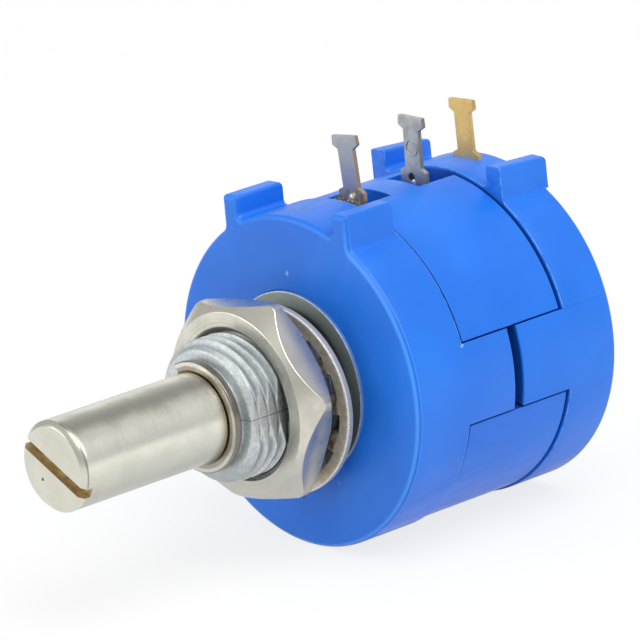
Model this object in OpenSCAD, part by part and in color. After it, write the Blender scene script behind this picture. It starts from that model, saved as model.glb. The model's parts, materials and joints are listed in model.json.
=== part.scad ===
// Ten-turn wirewound precision potentiometer, in millimetres.
// The mounting surface is y = 0, the shaft points along -Y and the terminals point along +Z.

/* [Housing] */
// Outer diameter of the front housing and of the rear cover
body_d = 22.2; // [21.6:0.1:24]
// Length of the housing behind its front face
body_len = 18.1; // [17.9:0.1:20]
// Length of the skirt on the front housing and on the rear cover
skirt_len = 4.7; // [4.5:0.1:4.9]
// Wall thickness of the skirts
skirt_wall = 1.25; // [1.1:0.05:1.4]
// Thickness of the front wall
front_wall = 2.2; // [1.9:0.1:2.4]
// Thickness of the rear wall
rear_wall = 1.3; // [1.2:0.05:1.5]
// Radius of the front and rear edges
edge_r = 0.4; // [0.1:0.05:0.6]
// Radial step from the skirts down to the middle housing
mid_step = 0.14; // [0.05:0.01:0.3]
// Wall thickness of the middle housing's spigots
spigot_wall = 0.83; // [0.7:0.01:0.9]
// Length of the spigot that carries the rear cover
spigot_len = 1.55; // [1.3:0.05:1.7]

/* [Locking tabs] */
// Length of the front housing's tabs beyond its skirt
tab_len = 4.05; // [3:0.05:4.3]
// Space between a front tab and the rear tab that faces it
tab_gap = 0.8; // [0.4:0.05:1.5]
// Width of a tab, as an angle about the axis
tab_sweep = 28; // [20:1:34]
// Middle of the right-hand tabs, as an angle from the terminals
tab_angle = 87.5; // [84:0.5:92]
// Gap at the seam between the front housing and the middle housing
front_seam = 0.24; // [0.05:0.01:0.35]
// Gap at the seam between the middle housing and the rear cover
rear_seam = 0.18; // [0.05:0.01:0.3]

/* [Lugs beside the terminals] */
// Angle from the terminals to the middle of a lug's foot
lug_angle = 27.47; // [26:0.01:32]
// Width of a lug
lug_w = 1.3; // [0.9:0.05:1.6]
// Height of a lug above the skirt, at its middle
lug_h = 1.76; // [1:0.02:2.4]
// Turn of each pair of lugs about the axis
lug_turn = -1.2; // [-3:0.1:3]
// Radius of the fillet between a lug and the skirt
lug_fillet = 0.55; // [0.2:0.05:0.7]
// Radius of the rounded end on top of a lug
lug_round = 0.3; // [0.1:0.05:1.2]
// Radius of a lug's top edges
lug_edge_r = 0.22; // [0.1:0.02:0.35]

/* [Terminal notches] */
// Width of the two notches in the middle housing
notch_w = 3.1; // [2.8:0.1:4]
// Length of the front notch behind the seam
front_notch_len = 2.92; // [2.4:0.02:3.6]
// Length of the rear notch ahead of the seam
rear_notch_len = 2.8; // [2.2:0.1:3.2]

/* [Terminals] */
// Distance of the first terminal behind the front seam
term_1_inset = 1.2; // [0.6:0.05:1.8]
// Distance of the third terminal ahead of the rear seam
term_3_inset = 1.9; // [1.3:0.05:2.4]
// Distance of the second terminal ahead of the rear wall's inner face
term_2_gap = 0.1; // [0.02:0.02:0.3]
// Sheet thickness of the terminals
term_t = 0.32; // [0.25:0.01:0.5]
// Height of a terminal's tip above the housing
term_h = 3.95; // [3.4:0.05:5.8]
// Width of a terminal's cross bar
term_bar_w = 2.32; // [2:0.02:2.8]
// Height of a terminal's cross bar
term_bar_h = 0.64; // [0.3:0.02:0.9]
// Width of a terminal's neck
term_neck_w = 1.42; // [1.1:0.02:1.8]
// Width of a terminal's base and foot plate
term_base_w = 2.36; // [2:0.02:2.6]
// Width of the foot that passes through the wall
term_foot_w = 1.2; // [0.8:0.05:1.6]
// Height of a terminal's base above the housing
term_base_h = 0.38; // [0.3:0.02:1.2]
// Sideways lean of the first terminal
term_1_lean = 6.2; // [0:0.1:8]
// Sideways lean of the second terminal
term_2_lean = 2.7; // [0:0.1:8]
// Sideways lean of the third terminal
term_3_lean = 0.4; // [0:0.1:8]
// Diameter of the wire hole near the third terminal's base
term_hole_d = 0.44; // [0.3:0.02:0.6]
// Depth of the second terminal's foot inside the middle housing's bore
foot_2_depth = 0.8; // [0.6:0.05:1]

/* [Bushing] */
// Outer diameter of the bushing's thread
thread_d = 9.52; // [9:0.01:10]
// Length of the bushing ahead of the mounting surface
bushing_len = 7.75; // [7:0.05:9.5]
// Width of the bushing's flange outside the thread
flange_w = 1.39; // [1.1:0.01:1.9]
// Height of the flange ahead of the housing's front face
flange_proud = 0.25; // [0.1:0.05:0.5]
// Depth of the flange behind the mounting surface
flange_depth = 1.3; // [1:0.05:1.6]
// Width of the step between the flange and the bushing's tail
tail_step = 0.95; // [0.7:0.05:1.2]
// Depth of the relief groove at the flange
relief_depth = 0.31; // [0.2:0.01:0.5]
// Width of the relief groove
relief_w = 0.6; // [0.3:0.05:1]
// Height of the lip round the bore, ahead of the bushing's end
lip_h = 0.3; // [0.1:0.05:0.5]
// Wall of the lip round the bore
lip_w = 0.55; // [0.4:0.05:0.7]
// Chamfer at the thread's end
thread_chamfer = 0.35; // [0.1:0.05:0.6]
// Thickness of the thrust washer behind the bushing
thrust_t = 0.2; // [0.1:0.01:0.25]

/* [Shaft] */
// Diameter of the shaft
shaft_d = 6; // [5.8:0.01:6.35]
// Length of the shaft ahead of the mounting surface
shaft_len = 20.85; // [16:0.05:26]
// Chamfer at the shaft's end
shaft_chamfer = 0.33; // [0.1:0.01:0.6]
// Width of the screwdriver slot
slot_w = 0.74; // [0.5:0.02:1.2]
// Depth of the screwdriver slot
slot_depth = 0.75; // [0.5:0.05:1.6]
// Turn of the screwdriver slot from level
slot_turn = 27; // [0:1:90]
// Height of the retaining ring above the shaft
ring_h = 0.72; // [0.5:0.02:1.1]
// Thickness of the retaining ring
ring_t = 0.5; // [0.3:0.02:0.6]
// Depth of the retaining ring's groove
ring_groove = 0.32; // [0.2:0.02:0.5]
// Radial step down to the shaft's journal inside the bushing
journal_step = 0.08; // [0.05:0.01:0.12]
// Opening of the retaining ring, as an angle
ring_opening = 60; // [20:2:80]
// Middle of the retaining ring's opening, as an angle from the terminals
ring_turn = 296; // [180:2:340]

/* [Hardware] */
// Wall of the nut between the thread and the middle of a flat
nut_wall = 1.59; // [1.3:0.01:2.2]
// Thickness of the nut
nut_t = 2.35; // [1.8:0.05:3]
// Distance of the nut's rear face from the mounting surface
nut_gap = 2.95; // [2.8:0.05:4]
// Turn of the nut's upper corner from the terminals
nut_turn = 23.3; // [0:0.1:60]
// Share of the nut's flats that its bevelled faces reach
nut_face_share = 1.0157; // [0.96:0.0001:1.08]
// Height of the bevel at the nut's corners
nut_bevel = 0.58; // [0.2:0.02:0.8]
// Depth of the countersinks in the nut
nut_sink = 0.3; // [0.1:0.02:0.6]
// Width of the lock washer from the thread to its edge
washer_w = 1.64; // [1.5:0.02:2.2]
// Width of the lock washer's rim
washer_rim = 0.8; // [0.6:0.05:1]
// Thickness of the lock washer
washer_t = 0.5; // [0.3:0.02:0.6]
// Gap between the lock washer's teeth and the thread
washer_play = 0.22; // [0.16:0.01:0.4]
// Number of teeth on the lock washer
washer_teeth = 13; // [8:1:14]
// Turn of the lock washer's first tooth from the terminals
washer_turn = 2.2; // [0:0.1:45]
// Twist of the lock washer's teeth
washer_twist = 14; // [0:1:20]
// Distance of the lock washer's middle from the mounting surface
washer_gap = 1.7; // [1.7:0.02:1.9]
// Tilt of the lock washer on the bushing
washer_tilt = 4.6; // [0:0.1:5]
// Drop of the lock washer on the bushing
washer_drop = 0.14; // [0:0.01:0.16]

/* [Resistance element] */
// Turns of the resistance element
coil_turns = 10; // [3:1:10]
// Diameter of the wound mandrel as a share of the element's pitch
coil_wire_share = 0.84; // [0.7:0.01:0.86]
// Space between the front wall and the element's first turn
coil_start_gap = 1.7; // [1.7:0.01:1.8]
// Space between the element's last turn and the rear wall
coil_end_gap = 2.9; // [2.9:0.01:3.2]
// Width of the leads between the element and its terminals
lead_w = 0.7; // [0.5:0.05:0.9]
// Thickness of the leads
lead_t = 0.15; // [0.1:0.01:0.2]

/* [Rotor and wiper] */
// Radius of the rotor as a share of the radius inside the element's turns
rotor_share = 0.7125; // [0.68:0.0025:0.73]
// Thickness of the rotor's end walls
rotor_end = 0.5; // [0.4:0.05:0.55]
// Width of the rotor's guide slot
guide_w = 3; // [2.4:0.1:3.6]
// Distance of the guide slot's floor from the axis as a share of the rotor's radius
guide_floor_share = 0.681; // [0.67:0.001:0.7]
// Depth of the side grooves that hold the carriage
guide_groove = 0.4; // [0.2:0.05:0.6]
// Length of the carriage along the rotor
carriage_len = 1.5; // [1.2:0.05:1.5]
// Distance of the carriage's top from the axis as a share of the radius inside the element's turns
carriage_share = 0.872; // [0.82:0.002:0.88]
// Sheet thickness of the wiper contact
wiper_t = 0.14; // [0.1:0.01:0.2]
// Width of the wiper contact
wiper_w = 0.8; // [0.5:0.05:1]
// Diameter of the collector bar
collector_d = 0.6; // [0.4:0.02:0.64]
// Radius of the slip ring as a share of the rotor's radius
slip_share = 0.8276; // [0.8:0.0002:0.88]
// Thickness of the slip ring
slip_t = 0.35; // [0.25:0.01:0.45]
// Thickness of the slip ring's flange
slip_flange_t = 0.25; // [0.2:0.01:0.3]
// Width of the slip ring's running face
slip_w = 0.75; // [0.6:0.05:0.8]
// Radius of the rear journal as a share of the rotor's radius
rear_journal_share = 0.345; // [0.28:0.005:0.4]
// Radius of the shaft's tang in the rotor as a share of the guide slot's distance from the axis
tang_share = 0.6; // [0.5:0.01:0.65]
// Thickness of the rear brush
brush_t = 0.15; // [0.1:0.01:0.2]

/* [Clearances] */
// Radial clearance of the shaft and of the rear journal
running = 0.03; // [0.02:0.005:0.05]
// Clearance between pieces that are fixed together
seat = 0.02; // [0.01:0.005:0.03]
// Clearance around sliding pieces
slide = 0.05; // [0.03:0.01:0.08]
// Side clearance of the locking tabs
tab_play = 0.08; // [0.03:0.01:0.15]

/* [Hidden] */

$fn = 96;
// Steps in the small arcs of the outlines
arc_steps = 5;
// Overlap that lets a cut run past the face it opens
past = 0.1;
// Small chamfer at the mouths of bores and on hidden ends
break_edge = 0.2;
// Depth that the lugs' fillets sink into the skirt
lug_sink = 0.03;

body_r = body_d / 2;
front_y = flange_proud;
rear_y = front_y + body_len;
// Seams of the front housing and of the rear cover
front_seam_y = front_y + skirt_len;
rear_seam_y = rear_y - skirt_len;
front_inner_y = front_y + front_wall;
rear_inner_y = rear_y - rear_wall;
// The two tabs face each other across the middle housing
front_tab_y = front_seam_y + tab_len;
rear_tab_y = front_tab_y + tab_gap;

skirt_r = body_r - skirt_wall;
lug_x = body_r * sin(lug_angle);
mid_r = body_r - mid_step;
spigot_r = skirt_r - seat;
mid_bore_r = spigot_r - spigot_wall;
mid_front_y = front_inner_y + seat;
spigot_end_y = rear_seam_y + spigot_len;

thread_r = thread_d / 2;
flange_r = thread_r + flange_w;
tail_r = flange_r - tail_step;
shaft_r = shaft_d / 2;
journal_r = shaft_r - journal_step;
bore_r = journal_r + running;
lip_r = bore_r + lip_w;
lip_y = -bushing_len - lip_h;

term_2_y = rear_inner_y - term_2_gap - term_t;
term_1_y = front_seam_y + term_1_inset;
term_3_y = rear_seam_y - term_3_inset;
term_top = body_r + term_h;
term_base_z = body_r + term_base_h;
// The feet of the first and third terminals end on their leads
lead_r = mid_bore_r + seat;
foot_end_z = lead_r + lead_t + seat;
// The foot of the second terminal reaches into the rear cover
foot_2_end_z = mid_bore_r - foot_2_depth;

coil_start_y = front_inner_y + coil_start_gap;
coil_end_y = rear_inner_y - coil_end_gap;
coil_pitch = (coil_end_y - coil_start_y) / coil_turns;
coil_wire_d = coil_pitch * coil_wire_share;
coil_r = mid_bore_r - coil_wire_d / 2 - seat;
coil_mid_y = (coil_start_y + coil_end_y) / 2;
// Radius inside the element's turns
coil_inner_r = coil_r - coil_wire_d / 2;
rotor_r = coil_inner_r * rotor_share;
guide_floor = rotor_r * guide_floor_share;
carriage_top = coil_inner_r * carriage_share;
tang_r = guide_floor * tang_share;

// The bushing's tail ends a little inside the front wall
tail_end_y = front_inner_y + 2.5 * seat;
thrust_y = tail_end_y + seat;
rotor_y = thrust_y + thrust_t + slide;
guide_start_y = coil_start_y - carriage_len / 2 - slide;
guide_end_y = coil_end_y + carriage_len / 2 + slide;
rotor_end_y = guide_end_y + rotor_end;
// Heights of the side grooves above the slot's floor
groove_span = [0.7, 1.3];
guide_groove_z = [guide_floor + groove_span[0], guide_floor + groove_span[1]];
collector_r = collector_d / 2;
// The rotor's neck keeps this wall inside the collector bar
rotor_neck_r = guide_floor - collector_r - break_edge;
slip_r = rotor_r * slip_share;
slip_y = rotor_end_y + slip_flange_t;
slip_end_y = slip_y + slip_w;
// Share of the rear wall that the journal enters
journal_share = 0.6;
journal_end_y = rear_inner_y + rear_wall * journal_share;
rear_journal_r = rotor_r * rear_journal_share;
// The shaft ends this far behind the rotor's middle
shaft_reach = 2;
shaft_end_y = (rotor_y + rotor_end_y) / 2 + shaft_reach;

// Points of an arc about c, from angle a to angle b
function arc(c, r, a, b, n = arc_steps) = [for (i = [0 : n]) let (t = a + (b - a) * i / n)
    [c[0] + r * cos(t), c[1] + r * sin(t)]];

// Unit normal to the left of the way from a to b
function left_of(a, b) = let (d = (b - a) / norm(b - a)) [-d[1], d[0]];

// Outline of a bent strip of thickness t along a path, with mitred bends
function strip(path, t) =
    let (last = len(path) - 1,
         n = [for (i = [0 : last - 1]) left_of(path[i], path[i + 1])],
         m = [for (i = [0 : last]) i == 0 ? n[0] : i == last ? n[last - 1]
             : (n[i - 1] + n[i]) / (1 + n[i - 1] * n[i])])
    concat([for (i = [0 : last]) path[i] + m[i] * t / 2],
           [for (i = [last : -1 : 0]) path[i] - m[i] * t / 2]);

// Turns a profile of [radius, y] points about the shaft axis
module lathe(profile) {
    rotate([-90, 0, 0]) rotate_extrude() polygon(profile);
}

// A plain round body between y0 and y1
module disc(r, y0, y1) {
    translate([0, y0, 0]) rotate([-90, 0, 0]) cylinder(r = r, h = y1 - y0);
}

// Extrudes an outline drawn as seen from the front between y0 and y1
module slab(y0, y1) {
    translate([0, y1, 0]) rotate([90, 0, 0]) linear_extrude(y1 - y0) children();
}

// Extrudes an outline drawn as seen from the right, in y and z, between x0 and x1
module side_slab(x0, x1) {
    translate([x0, 0, 0]) rotate([90, 0, 90]) linear_extrude(x1 - x0) children();
}

// A box given by its limits on each axis
module block(x, y, z) {
    translate([x[0], y[0], z[0]]) cube([x[1] - x[0], y[1] - y[0], z[1] - z[0]]);
}

// Wedge about the axis, centred on an angle from the terminals
module wedge(angle, sweep, y0, y1) {
    reach = 2 * body_r;
    slab(y0, y1) polygon([[0, 0],
        for (a = [angle - sweep / 2, angle, angle + sweep / 2]) [reach * sin(a), reach * cos(a)]]);
}

// The two opposite sectors that the locking tabs fill, between y0 and y1
module tab_sectors(y0, y1, play = 0) {
    // The side clearance as an angle at the outer radius
    extra = 2 * play / body_r * 180 / PI;
    for (side = [0, 180]) wedge(tab_angle + side, tab_sweep + extra, y0, y1);
}

// Ring of the skirts' section between y0 and y1
module skirt_ring(y0, y1) {
    difference() {
        disc(body_r, y0, y1);
        disc(skirt_r, y0 - past, y1 + past);
    }
}

// Outline of the right-hand lug as seen from the front, closed inside the skirt's wall: the
// fillets run a little into the skirt, so that they cross its surface
function lug_outline() =
    let (x1 = lug_x - lug_w / 2, x2 = lug_x + lug_w / 2,
         top = sqrt(pow(body_r + lug_h, 2) - lug_x * lug_x),
         f = lug_fillet, e = lug_edge_r, reach = body_r + f - lug_sink,
         inner = [x1 - f, sqrt(pow(reach, 2) - pow(x1 - f, 2))],
         outer = [x2 + f, sqrt(pow(reach, 2) - pow(x2 + f, 2))],
         inner_foot = atan2(-inner[1], -inner[0]), outer_foot = atan2(-outer[1], -outer[0]) + 360,
         root = (skirt_r + skirt_wall / 3) / reach)
    concat([root * inner], arc(inner, f, inner_foot, 0), arc([x1 + e, top - e], e, 180, 90),
           arc([x2 - e, top - e], e, 90, 0), arc(outer, f, 180, outer_foot), [root * outer]);

// Lug between y0 and y1, with its upper rear end rounded and its upper front end by front_round
module lug(y0, y1, front_round) {
    low = body_r / 2;
    top = sqrt(pow(body_r + lug_h, 2) - lug_x * lug_x);
    intersection() {
        slab(y0, y1) polygon(lug_outline());
        side_slab(0, body_r) polygon(concat([[y0, low]],
            arc([y0 + front_round, top - front_round], front_round, 180, 90),
            arc([y1 - lug_round, top - lug_round], lug_round, 90, 0), [[y1, low]]));
    }
}

module lug_pair(y0, y1, front_round) {
    rotate([0, lug_turn, 0]) {
        lug(y0, y1, front_round);
        mirror([1, 0, 0]) lug(y0, y1, front_round);
    }
}

// Outline of a terminal as seen from the front: upright foot and base, leaning neck and cross bar
module terminal_outline(lean, foot_z, base_low) {
    bar_low = term_top - term_bar_h;
    neck = term_neck_w / 2;
    bar = term_bar_w / 2;
    base = term_base_w / 2;
    // Height of the slopes below the bar, and the narrowing of the bar's top
    slope = 0.6 * (bar - neck);
    narrow = 0.08;
    translate([-term_foot_w / 2, foot_z]) square([term_foot_w, term_base_z - foot_z]);
    translate([-base, base_low]) square([term_base_w, term_base_z - base_low]);
    translate([0, term_base_z]) rotate(lean) translate([0, -term_base_z])
        polygon([[-neck, term_base_z - neck * sin(lean) - past], [neck, term_base_z - past],
            [neck, bar_low - slope], [bar, bar_low], [bar - narrow, term_top], [narrow - bar, term_top],
            [-bar, bar_low], [-neck, bar_low - slope]]);
}

// Cut through a wall for a terminal's foot, with the seat clearance all round
module foot_cut(y, z0, z1) {
    half = term_foot_w / 2 + seat;
    block([-half, half], [y - seat, y + term_t + seat], [z0, z1]);
}

module front_housing() {
    color("royalblue") difference() {
        union() {
            lathe(concat([[0, front_y]],
                arc([body_r - edge_r, front_y + edge_r], edge_r, -90, 0),
                [[body_r, front_seam_y], [skirt_r, front_seam_y], [skirt_r, front_inner_y],
                 [0, front_inner_y]]));
            lug_pair(front_y, front_seam_y, lug_edge_r / 2);
            intersection() {
                skirt_ring(front_seam_y - past, front_tab_y);
                tab_sectors(front_seam_y - past, front_tab_y);
            }
        }
        disc(flange_r + seat, front_y - past, flange_depth);
        disc(tail_r + seat, flange_depth - past, front_inner_y + past);
    }
}

module mid_housing() {
    seam_front = front_seam_y + front_seam;
    seam_rear = rear_seam_y - rear_seam;
    notch = notch_w / 2;
    lead_cut = lead_w / 2 + slide;
    // The channels open into the bore
    lead_low = mid_bore_r - 2 * past;
    lead_top = lead_r + lead_t + seat;
    color("royalblue") difference() {
        lathe([[mid_bore_r, mid_front_y], [spigot_r, mid_front_y], [spigot_r, seam_front],
               [mid_r, seam_front], [mid_r, seam_rear], [spigot_r, seam_rear],
               [spigot_r, spigot_end_y], [mid_bore_r, spigot_end_y]]);
        // Recesses under the locking tabs
        intersection() {
            difference() {
                disc(body_r + past, seam_front - past, seam_rear + past);
                disc(spigot_r, seam_front - 2 * past, seam_rear + 2 * past);
            }
            tab_sectors(seam_front - past, seam_rear + past, tab_play);
        }
        // Notches for the first and third terminals
        block([-notch, notch], [seam_front - past, seam_front + front_notch_len], [spigot_r, body_r + past]);
        block([-notch, notch], [seam_rear - rear_notch_len, seam_rear + past], [spigot_r, body_r + past]);
        foot_cut(term_1_y, mid_bore_r, spigot_r + past);
        foot_cut(term_3_y, mid_bore_r, spigot_r + past);
        // Channels for the leads, open to the ends of the bore
        block([-lead_cut, lead_cut], [mid_front_y - past, term_1_y + term_t + seat],
            [lead_low, lead_top]);
        block([-lead_cut, lead_cut], [term_3_y - seat, spigot_end_y + past],
            [lead_low, lead_top]);
    }
}

module rear_cover() {
    inner_start_y = spigot_end_y + slide;
    base_cut = term_base_w / 2 + seat;
    color("royalblue") difference() {
        union() {
            lathe(concat([[0, rear_inner_y], [mid_bore_r, rear_inner_y], [mid_bore_r, inner_start_y],
                [skirt_r, inner_start_y], [skirt_r, rear_seam_y], [body_r, rear_seam_y]],
                arc([body_r - edge_r, rear_y - edge_r], edge_r, 0, 90), [[0, rear_y]]));
            lug_pair(rear_seam_y, rear_y - edge_r / 2, lug_edge_r);
            intersection() {
                skirt_ring(rear_tab_y, rear_seam_y + past);
                tab_sectors(rear_tab_y, rear_seam_y + past);
            }
        }
        // Bearing for the rotor's rear journal
        disc(rear_journal_r + running, rear_inner_y - past, journal_end_y + slide);
        // Slot for the second terminal
        foot_cut(term_2_y, mid_bore_r / 2, body_r + lug_h);
        block([-base_cut, base_cut], [term_2_y - seat, term_2_y + term_t + seat],
            [skirt_r - seat, body_r + lug_h]);
    }
}

module bushing() {
    flange_edge = break_edge / 2;
    color("lightsteelblue") lathe([[bore_r, lip_y + break_edge], [bore_r + break_edge, lip_y],
        [lip_r, lip_y], [lip_r, -bushing_len], [thread_r - thread_chamfer, -bushing_len], [thread_r, -bushing_len + thread_chamfer],
        [thread_r, -relief_w], [thread_r - relief_depth, -relief_w], [thread_r - relief_depth, 0],
        [flange_r - flange_edge, 0], [flange_r, flange_edge], [flange_r, flange_depth - seat],
        [tail_r, flange_depth - seat], [tail_r, tail_end_y], [bore_r, tail_end_y]]);
}

// The retaining ring runs against the bushing's lip
ring_y = lip_y - slide - ring_t;
groove_r = shaft_r - ring_groove;

module shaft() {
    tip_r = shaft_r - shaft_chamfer;
    color("silver") difference() {
        lathe([[0, -shaft_len], [tip_r, -shaft_len], [shaft_r, -shaft_len + shaft_chamfer],
               [shaft_r, ring_y - break_edge], [journal_r, ring_y - seat], [groove_r, ring_y - seat],
               [groove_r, ring_y + ring_t + seat], [journal_r, ring_y + ring_t + seat],
               [journal_r, rotor_y - seat], [tang_r, rotor_y - seat],
               [tang_r, shaft_end_y - break_edge], [tang_r - break_edge, shaft_end_y], [0, shaft_end_y]]);
        rotate([0, slot_turn, 0])
            block([-shaft_d, shaft_d], [-shaft_len - past, slot_depth - shaft_len], [-slot_w / 2, slot_w / 2]);
    }
}

module retaining_ring() {
    color("silver") difference() {
        disc(shaft_r + ring_h, ring_y, ring_y + ring_t);
        disc(groove_r + seat, ring_y - past, ring_y + ring_t + past);
        wedge(ring_turn, ring_opening, ring_y - past, ring_y + ring_t + past);
    }
}

module thrust_washer() {
    color("ivory") difference() {
        disc(tail_r - break_edge, thrust_y, thrust_y + thrust_t);
        disc(bore_r, thrust_y - past, thrust_y + thrust_t + past);
    }
}

// The rotor carries the carriage in a slot along its top
module rotor() {
    half = guide_w / 2;
    hub_r = slip_r - slip_t - seat;
    color("white") difference() {
        lathe([[0, rotor_y], [rotor_r, rotor_y], [rotor_r, rotor_end_y], [rotor_neck_r, rotor_end_y],
               [rotor_neck_r, slip_y], [hub_r, slip_y], [hub_r, slip_end_y], [rear_journal_r, slip_end_y],
               [rear_journal_r, journal_end_y], [0, journal_end_y]]);
        disc(tang_r + seat / 2, rotor_y - past, shaft_end_y + slide);
        block([-half, half], [guide_start_y, guide_end_y], [guide_floor, rotor_r + past]);
        block([-half - guide_groove, half + guide_groove], [guide_start_y, guide_end_y], guide_groove_z);
        translate([0, 0, guide_floor]) disc(collector_r + seat, rotor_y - past, rotor_end_y + past);
    }
}

module collector_bar() {
    color("gold") translate([0, 0, guide_floor]) disc(collector_r, rotor_y + slide, rotor_end_y);
}

// Flanged ring at the rear of the rotor: its flange meets the collector bar's end
module slip_ring() {
    inner = slip_r - slip_t;
    neck_r = rotor_neck_r + seat;
    color("gold") lathe([[neck_r, rotor_end_y + seat], [slip_r, rotor_end_y + seat], [slip_r, slip_end_y],
        [inner, slip_end_y], [inner, slip_y - seat], [neck_r, slip_y - seat]]);
}

module carriage() {
    half = guide_w / 2 - slide;
    rail = half + guide_groove;
    low = guide_floor + collector_r + slide + wiper_t + seat;
    rear = coil_mid_y + carriage_len / 2;
    y = [coil_mid_y - carriage_len / 2, rear];
    strap = wiper_w / 2 + seat;
    color("dimgray") difference() {
        union() {
            block([-half, half], y, [low, carriage_top]);
            block([-rail, rail], y, [guide_groove_z[0] + slide, guide_groove_z[1] - slide]);
        }
        block([-strap, strap], [rear - wiper_t - seat, rear + past], [low - past, carriage_top + past]);
    }
}

// Bent sheet on the carriage: a foot on the collector bar, a strap up the rear side and a spring
// arm over the top, with a grooved head on the element
module wiper_contact() {
    front = break_edge - carriage_len / 2;
    rear = (carriage_len - wiper_t) / 2;
    foot_z = guide_floor + collector_r + slide + wiper_t / 2;
    arm_z = carriage_top + seat + wiper_t / 2;
    groove = coil_wire_d / 2;
    // The head's lips reach past the element's lowest line on both sides of the groove
    head_h = 0.42;
    groove_h = 0.19;
    lip_h = 0.07;
    lip_w = 0.08;
    lip = groove + lip_w;
    head_z = coil_inner_r - head_h;
    tip_z = coil_inner_r + lip_h;
    shoulder_z = tip_z - lip_w / 2;
    color("gold") translate([0, coil_mid_y, 0]) side_slab(-wiper_w / 2, wiper_w / 2) {
        polygon(strip([[front, foot_z], [rear, foot_z], [rear, arm_z], [front, arm_z],
            [front + break_edge, head_z + wiper_t / 2]], wiper_t));
        polygon([[-lip, head_z], [-lip, shoulder_z], [-groove, tip_z], [0, coil_inner_r - groove_h],
            [groove, tip_z], [lip, shoulder_z], [lip, head_z]]);
    }
}

// One ring of the mandrel's section after t turns
function coil_ring(t, sides) =
    let (a = 360 * t, y = coil_start_y + coil_pitch * t, w = coil_wire_d / 2)
    [for (k = [0 : sides - 1]) let (b = 360 * k / sides, r = coil_r + w * cos(b))
        [r * sin(a), y + w * sin(b), r * cos(a)]];

module resistance_coil() {
    sides = 6;
    per_turn = 36;
    rings = coil_turns * per_turn;
    points = [for (i = [0 : rings]) each coil_ring(i / per_turn, sides)];
    walls = [for (i = [0 : rings - 1], k = [0 : sides - 1])
        let (n = (k + 1) % sides)
        [i * sides + k, i * sides + n, (i + 1) * sides + n, (i + 1) * sides + k]];
    ends = [[for (k = [sides - 1 : -1 : 0]) k], [for (k = [0 : sides - 1]) rings * sides + k]];
    color("saddlebrown") polyhedron(points, concat(walls, ends));
}

// Flat lead in its channel in the bore, from the element's end to a terminal's foot
module element_lead(y0, y1) {
    color("silver") block([-lead_w / 2, lead_w / 2], [y0, y1], [lead_r, lead_r + lead_t]);
}

module element_lead_front() {
    element_lead(coil_start_y - coil_wire_d / 2, term_1_y + term_t);
}

module element_lead_rear() {
    element_lead(term_3_y, coil_end_y + coil_wire_d / 2);
}

module terminal_1() {
    color("darkgray") slab(term_1_y, term_1_y + term_t)
        terminal_outline(term_1_lean, foot_end_z, spigot_r + seat);
}

module terminal_2() {
    color("gold") slab(term_2_y, term_2_y + term_t)
        terminal_outline(term_2_lean, foot_2_end_z, skirt_r);
}

module terminal_3() {
    color("darkgray") slab(term_3_y, term_3_y + term_t) difference() {
        terminal_outline(term_3_lean, foot_end_z, spigot_r + seat);
        translate([0, term_base_z - 0.5]) circle(d = term_hole_d);
    }
}

// Spring strip from the second terminal's foot to the side of the slip ring
module wiper_brush() {
    side = slip_r + seat + brush_t / 2;
    brush_w = 0.8 * slip_w;
    // It touches the ring at this angle above the level of the axis, along the ring's tangent
    touch = 15;
    way = [-sin(touch), -cos(touch)];
    // Lengths above the touching point, below it and of the lifted end
    above = 0.65 * side;
    below = 0.7;
    lift = [-0.4, -0.8];
    foot = [[0, mid_bore_r - break_edge], [0, foot_2_end_z + past]];
    touching = side * [-cos(touch), sin(touch)];
    end = touching + below * way;
    color("gold") slab(term_2_y - seat - brush_w, term_2_y - seat)
        polygon(strip(concat(foot, [touching - above * way, end, end + lift]), brush_t));
}

module hex_nut() {
    nut_r = thread_r + 2 * seat;
    flat_r = thread_r + nut_wall;
    face_r = flat_r * nut_face_share;
    corner_r = flat_r / cos(30);
    rear = -nut_gap;
    front = rear - nut_t;
    sink_r = nut_r + nut_sink;
    color("silver") difference() {
        intersection() {
            slab(front, rear) rotate(90 - nut_turn) circle(r = corner_r, $fn = 6);
            lathe([[0, front], [face_r, front], [corner_r + seat, front + nut_bevel],
                   [corner_r + seat, rear - nut_bevel], [face_r, rear], [0, rear]]);
        }
        disc(nut_r, front - past, rear + past);
        lathe([[0, front - past], [sink_r, front - past], [sink_r, front], [nut_r, front + nut_sink],
               [0, front + nut_sink]]);
        lathe([[0, rear + past], [sink_r, rear + past], [sink_r, rear], [nut_r, rear - nut_sink],
               [0, rear - nut_sink]]);
    }
}

// Lock washer with twisted internal teeth, hanging tilted on the thread
module lock_washer() {
    outer_r = thread_r + washer_w;
    rim_r = outer_r - washer_rim;
    hole_r = thread_r + washer_play;
    // A tooth takes this share of its part of the hole
    tooth_share = 0.55;
    tooth_w = 2 * PI * hole_r / washer_teeth * tooth_share;
    tooth_z = [hole_r - rim_r - 3 * past, 2 * past];
    color("burlywood") translate([0, -washer_gap, -washer_drop]) rotate([0, 0, washer_tilt]) {
        difference() {
            disc(outer_r, -washer_t / 2, washer_t / 2);
            disc(rim_r, -washer_t / 2 - past, washer_t / 2 + past);
        }
        for (i = [0 : washer_teeth - 1]) rotate([0, washer_turn + 360 * i / washer_teeth, 0])
            difference() {
                translate([0, 0, rim_r]) rotate([0, 0, washer_twist])
                    block([-tooth_w / 2, tooth_w / 2], [-washer_t / 2, washer_t / 2], tooth_z);
                disc(hole_r, -outer_r, outer_r);
            }
    }
}

front_housing();
mid_housing();
rear_cover();
bushing();
shaft();
retaining_ring();
thrust_washer();
rotor();
collector_bar();
slip_ring();
carriage();
wiper_contact();
resistance_coil();
element_lead_front();
element_lead_rear();
terminal_1();
terminal_2();
terminal_3();
wiper_brush();
hex_nut();
lock_washer();
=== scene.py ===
import json
import math

import bmesh
import bpy
import numpy as np
from mathutils import Matrix, Vector


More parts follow.
